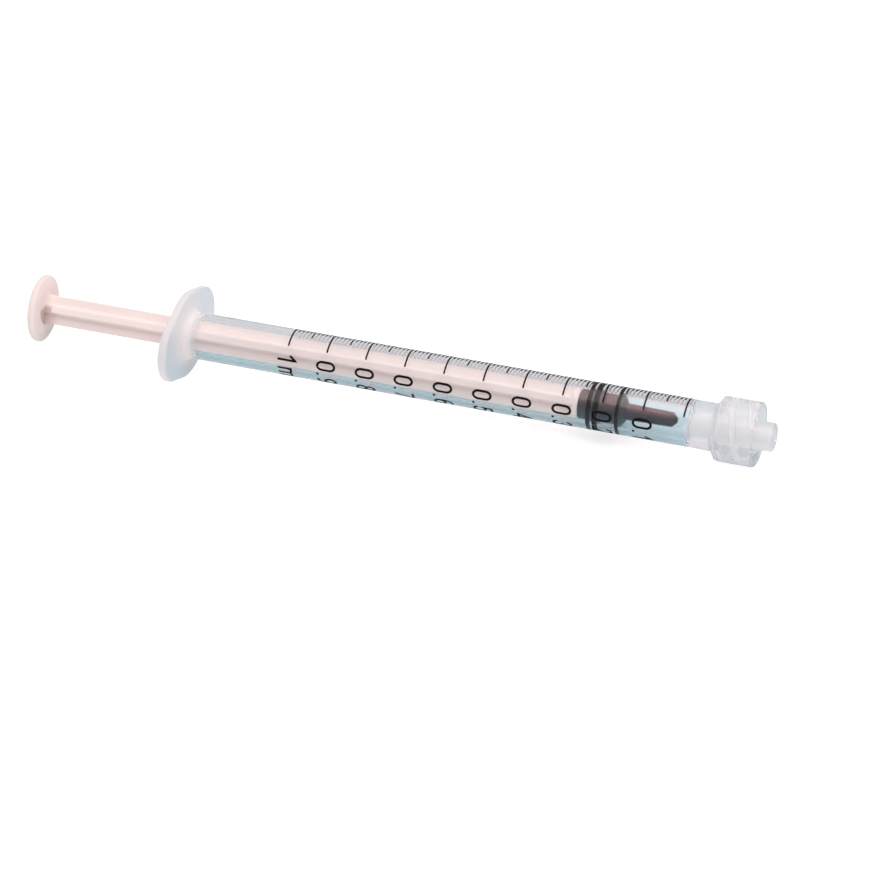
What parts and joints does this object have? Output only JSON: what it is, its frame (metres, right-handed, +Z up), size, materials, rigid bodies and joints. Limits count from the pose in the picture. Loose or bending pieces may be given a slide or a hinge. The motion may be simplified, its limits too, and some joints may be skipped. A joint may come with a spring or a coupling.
{
  "type": "oral syringe",
  "caption": "Slim clear dosing syringe with a printed scale, an oval finger flange, a luer-lock tip, a dark rubber stopper and a milky plunger rod that slides and turns.",
  "frame": {"origin": "on the bore axis, halfway between the end of the tip and the outside of the thumb disc at rest", "axes": "+X along the bore towards the tip, +Z up across the narrow way of the oval finger flange"},
  "size_m": [0.1078, 0.0186, 0.012],
  "materials": {
    "clear_polypropylene": "gloss",
    "grey_rubber": "satin",
    "milky_polypropylene": "satin",
    "scale_ink": "matte"
  },
  "bodies": {
    "barrel": {"barrel": "clear_polypropylene"},
    "stopper": {"stopper": "grey_rubber"},
    "plunger_rod": {"plunger_rod": "milky_polypropylene"}
  },
  "joints": [
    {"name": "plunger_slide", "type": "slide", "parent": "barrel", "child": "stopper", "axis": [1, 0, 0], "range_m": [-0.0535, 0.0093]},
    {"name": "rod_turn", "type": "hinge", "parent": "stopper", "child": "plunger_rod", "pos_m": [0.02696, 0, 0], "axis": [1, 0, 0], "continuous": true}
  ]
}
